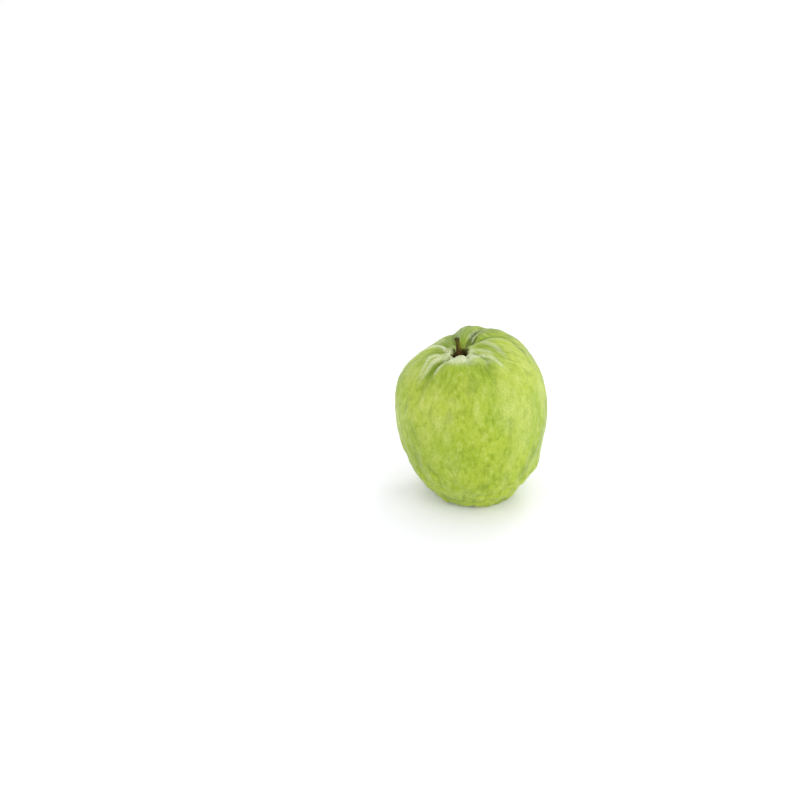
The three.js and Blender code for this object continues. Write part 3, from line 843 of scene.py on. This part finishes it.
def corky_pit(s, colour, from_pit):
    """Cork on the pit's floor, with a ragged edge, and near-black painted shade that runs out along the
    deepest parts of the furrows.
    """
    cork = s.lay(CORK_DARK_AND_SHADE, CORK_PALE, s.noise(1500, detail=5), 0.4, 0.6)
    ragged = s.added(from_pit, s.span(s.noise(420, detail=5), 0.3, 0.7, -2.5, 2.5))
    colour = s.lay(colour, cork, ragged, 9.4, 7.8)
    # Painted shade deep in the furrows near the pit.
    furrow_shade = s.times(s.span(s.attribute("furrow"), 0.55, 0.95), s.span(ragged, 17, 11))
    return s.blend(furrow_shade, colour, CORK_DARK_AND_SHADE)


def skin_material():
    """Waxy yellow-green rind with a fine upright grain, bloom and painted highlight on the crests, painted
    shade in the hollows and cork in the pit.
    """
    s = Shader("guava_skin", Roughness=0.42, IOR=1.4, Specular_IOR_Level=0.35, Coat_Weight=0.06,
               Coat_Roughness=0.28, Sheen_Weight=0.06, Sheen_Roughness=0.4, Sheen_Tint=(0.9, 1, 0.8, 1))
    grain = s.attribute("grain", "Vector")
    mottle = s.noise(420, detail=5, roughness=0.62, stretch=1.9, place=grain)
    flecks = s.noise(1700, detail=2, stretch=2.4, place=grain)
    wrinkles = s.noise(620, detail=3, roughness=0.6, stretch=12, place=grain)
    wrinkled = s.attribute("wrinkled")
    from_pit = s.attribute("from_pit")

    colour = green_rind(s, from_pit, mottle, flecks)
    colour = shaded_hollows(s, colour)
    colour = wrinkled_crown(s, colour, wrinkled, wrinkles)
    colour = bloom_highlight_and_crease_shade(s, colour)
    colour = corky_pit(s, colour, from_pit)

    rough = s.added(s.added(mottle, flecks), s.span(s.cells(1400), 0.0, 0.35))
    height = s.added(rough, s.times(wrinkled, wrinkles))
    return s.finish(colour, s.bump(height, 0.1 * MM), s.span(s.noise(500), 0.3, 0.7, 0.36, 0.5))


# ---- The stem stub ---------------------------------------------------------------------------------------


def stem_shaft(rows=150, columns=72):
    """The stub, turned and ridged, and bent more and more towards its top."""
    radius, height, angle = turned(STEM_OUTLINE, rows, columns)
    ridge = STEM_RIDGES["rise"] * np.cos(STEM_RIDGES["count"] * angle)
    radius = np.where(radius > STEM_RIDGES["from_radius"], radius + ridge, radius)
    bent = (height / STEM_HEIGHT) ** 2
    x = radius * np.cos(angle) + STEM_BEND[0] * bent + STEM_PLACE[0]
    y = radius * np.sin(angle) + STEM_BEND[1] * bent + STEM_PLACE[1]
    points = without_seam(np.stack([x, y, height], axis=-1))
    return roughened(points, STEM_ROUGHNESS), capped_grid_faces(rows, columns)


def cork_flakes(rows=8, sides=10):
    """Ragged flakes of dry cork that stand round the stem's foot."""
    draw = random_stream(CORK["seed"])
    share = np.linspace(0, 1, rows + 1)[:, None]
    taper = np.sqrt(1 - share[:, 0] ** 2)
    taper[0] = 0
    for _ in range(CORK["count"]):
        out, around = round_about(360 * next(draw))
        from_axis = mix(*CORK["from_axis"], next(draw))
        height = mix(*CORK["height"], next(draw))
        width = mix(*CORK["width"], next(draw))
        lean = mix(*CORK["lean"], next(draw))
        foot = out * from_axis + (CORK["climb"] * from_axis**2 - CORK["sunk"]) * UP
        line = foot + share * height * UP + share**2 * lean * height * out
        points, faces = tube(line, around, width * taper, CORK["thickness"] * width * taper, sides)
        yield roughened(points, CORK_ROUGHNESS), faces


def make_stem(pit_floor):
    points, faces = joined([stem_shaft(), *cork_flakes()])
    foot = pit_floor + GAP * UP
    stem = mesh_object("stem_stub", points + foot, faces, stem_material(), "stem")
    share = points[:, 2:] / STEM_HEIGHT
    set_attribute(stem, "height", share[:, 0])
    middle = STEM_PLACE + np.array(STEM_BEND) * share**2
    set_attribute(stem, "from_middle", np.hypot(*(points[:, :2] - middle).T))


def stem_material():
    """Dry olive-brown bark with dark cracks, reddish cork at the foot and pale pith in the cut."""
    s = Shader("guava_stem", Roughness=0.9, IOR=1.3)
    fibres = s.noise(900, detail=5, stretch=7)
    height = s.attribute("height")
    colour = s.lay(BARK_DARK, BARK, fibres, 0.35, 0.65)
    colour = s.lay(colour, BARK_PALE, s.noise(700, detail=4), 0.55, 0.72, 0.6)
    foot = s.lay(CORK_DARK_AND_SHADE, CORK_RED, s.noise(1300, detail=5), 0.42, 0.62)
    colour = s.lay(colour, foot, height, 0.8, 0.4)
    colour = s.lay(colour, BARK_DARK, height, 0.84, 0.95, 0.7)
    cut = s.times(s.span(height, 0.9, 0.94), s.span(s.attribute("from_middle"), 1.15, 0.9))
    colour = s.blend(cut, colour, PITH)
    return s.finish(colour, s.bump(fibres, 0.3 * MM), s.span(fibres, 0.3, 0.7, 0.7, 0.9))


# ---- The withered calyx ----------------------------------------------------------------------------------


def calyx_ring(rows=110, columns=120):
    radius, height, angle = turned(CALYX_OUTLINE[::-1], rows, columns)
    points = np.stack([radius * np.cos(angle), radius * np.sin(angle), height], axis=-1)
    return roughened(without_seam(points), RING_ROUGHNESS), capped_grid_faces(rows, columns)


def sepal(at, length, width, spread, rows=40, sides=48):
    """A wrinkled blade from the ring's rim that tapers to a point, cupped across and curled back."""
    out, around = round_about(at)
    share = np.linspace(0, 1, rows + 1)
    taper = np.sqrt(1 - share**2) * (1 - SEPAL_NARROWING * share)
    taper[0] = 0
    tilt = math.radians(spread) * SEPAL_LEAN
    curl = 0.5 * length * share**2 * math.tan(math.radians(spread) / 2)
    outwards = curl * math.cos(tilt) + share * length * math.sin(tilt)
    downwards = share * length * math.cos(tilt) - curl * math.sin(tilt)
    rim_radius, rim_height = CALYX_RIM
    foot = out * (rim_radius - SEPAL_ROOT["inwards"]) + (rim_height + SEPAL_ROOT["depth"]) * UP
    line = foot + outwards[:, None] * out - downwards[:, None] * UP
    points, faces = tube(line, around, width / 2 * taper, SEPAL_THICKNESS / 2 * np.sqrt(taper), sides)
    aside = (points - foot) @ around
    points = points - (SEPAL_CUP * aside**2)[:, None] * out
    return roughened(points, SEPAL_ROUGHNESS), faces


def thread(foot, tip, radius, sides=8, rows=12):
    """A thin dry thread from one point to another, that tapers and wavers."""
    share = np.linspace(0, 1, rows + 1)[:, None]
    line = foot + share * (tip - foot)
    thickness = radius * (1 - THREAD_TAPER * share[:, 0])
    thickness[[0, -1]] = 0
    across = np.cross(tip - foot, THREAD_SIDE)
    across /= np.linalg.norm(across)
    points, faces = tube(line, across, thickness, thickness, sides)
    return roughened(points, THREAD_ROUGHNESS), faces


def stamens():
    """What is left of the flower's stamens, as threads that stand round the style."""
    draw = random_stream(STAMENS["seed"])
    for _ in range(STAMENS["count"]):
        out, around = round_about(360 * next(draw))
        foot = out * mix(*STAMENS["from_axis"], next(draw)) + STAMENS["foot"] * UP
        length = mix(*STAMENS["length"], next(draw))
        lean = mix(*STAMENS["lean"], next(draw)) * out + mix(*STAMENS["aside"], next(draw)) * around
        yield thread(foot, foot + length * (lean - UP), STAMENS["radius"])


def make_calyx(basin_floor):
    style_foot = STYLE["foot"] * UP
    style_tip = style_foot + np.array([STYLE["lean"], 0, -STYLE["length"]])
    style = thread(style_foot, style_tip, STYLE["radius"], sides=20, rows=30)
    points, faces = joined([calyx_ring(), style, *(sepal(*leaf) for leaf in SEPALS), *stamens()])
    root = basin_floor - GAP * UP
    calyx = mesh_object("calyx_remains", points + root, faces, calyx_material(), "calyx")
    set_attribute(calyx, "depth", -points[:, 2])


def calyx_material():
    """Dry brown leafy skin with dark folds and paler, straw-coloured tips."""
    s = Shader("guava_calyx", Roughness=0.85)
    folds = s.noise(650, detail=6)
    colour = s.lay(DRY_DARK, DRY_BROWN, folds, 0.35, 0.65)
    colour = s.lay(colour, DRY_PALE, s.noise(1800, detail=3), 0.52, 0.7, 0.5)
    colour = s.lay(colour, DRY_PALE, s.attribute("depth"), 3.5, 7.5, 0.5)
    return s.finish(colour, s.bump(folds, 0.4 * MM), s.span(folds, 0.3, 0.7, 0.75, 0.95))


# ---- The stage -------------------------------------------------------------------------------------------


def make_floor():
    bpy.ops.mesh.primitive_plane_add(size=FLOOR_SIZE)
    floor = bpy.context.object
    floor.name = "floor"
    floor.data.materials.append(Shader("pale_floor", Roughness=0.6, **FLOOR_GLOW).finish(FLOOR_WHITE))
    floor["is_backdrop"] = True


def make_softbox(name, place, size, power):
    """A round light that faces the fruit's middle."""
    light = bpy.data.lights.new(name, "AREA")
    light.shape = "DISK"
    light.size = size
    light.energy = power
    lamp = bpy.data.objects.new(name, light)
    lamp.location = place
    towards = Vector((0, 0, VIEW_HEIGHT)) - Vector(place)
    lamp.rotation_euler = towards.to_track_quat("-Z", "Y").to_euler()
    bpy.context.scene.collection.objects.link(lamp)


def light_scene():
    world = bpy.data.worlds.new("studio")
    bpy.context.scene.world = world
    world.use_nodes = True
    background = world.node_tree.nodes["Background"]
    background.inputs["Color"].default_value = (1, 1, 1, 1)
    background.inputs["Strength"].default_value = 1.0
    for softbox in SOFTBOXES:
        make_softbox(*softbox)
    bpy.context.scene.view_settings.view_transform = "Standard"


def make_camera():
    """Looks along +Y and down, turned so that the fruit's middle lies at its place in the photograph."""
    camera = bpy.data.objects.new("camera", bpy.data.cameras.new("camera"))
    bpy.context.scene.collection.objects.link(camera)
    camera.data.lens = VIEW_LENS
    camera.data.sensor_width = SENSOR
    elevation = math.radians(VIEW_ELEVATION)
    back = Vector((0, -math.cos(elevation), math.sin(elevation)))
    focal = VIEW_LENS / SENSOR * IMAGE
    yaw = math.atan((VIEW_PIXEL[0] - IMAGE / 2) / focal)
    pitch = math.atan((VIEW_PIXEL[1] - IMAGE / 2) / focal)
    turned = Matrix.Rotation(yaw, 4, "Y") @ Matrix.Rotation(pitch, 4, "X")
    looking = Matrix.Rotation(math.pi / 2 - elevation, 4, "X")
    place = Matrix.Translation(Vector((0, 0, VIEW_HEIGHT)) + back * VIEW_DISTANCE)
    camera.matrix_world = place @ looking @ turned
    bpy.context.scene.camera = camera


# ---- The scene -------------------------------------------------------------------------------------------

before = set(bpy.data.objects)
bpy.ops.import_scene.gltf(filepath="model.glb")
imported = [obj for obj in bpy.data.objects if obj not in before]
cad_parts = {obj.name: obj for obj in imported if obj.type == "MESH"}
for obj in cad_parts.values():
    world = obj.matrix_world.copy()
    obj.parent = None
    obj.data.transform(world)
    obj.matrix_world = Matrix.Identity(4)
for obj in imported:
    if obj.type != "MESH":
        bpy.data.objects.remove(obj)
cad_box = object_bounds()

noise.seed_set(NOISE_SEED)
make_camera()
make_floor()
light_scene()
pit_floor, basin_floor = make_fruit()
make_stem(pit_floor)
make_calyx(basin_floor)

repr([[list(map(float, corner)) for corner in box] for box in (cad_box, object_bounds())])
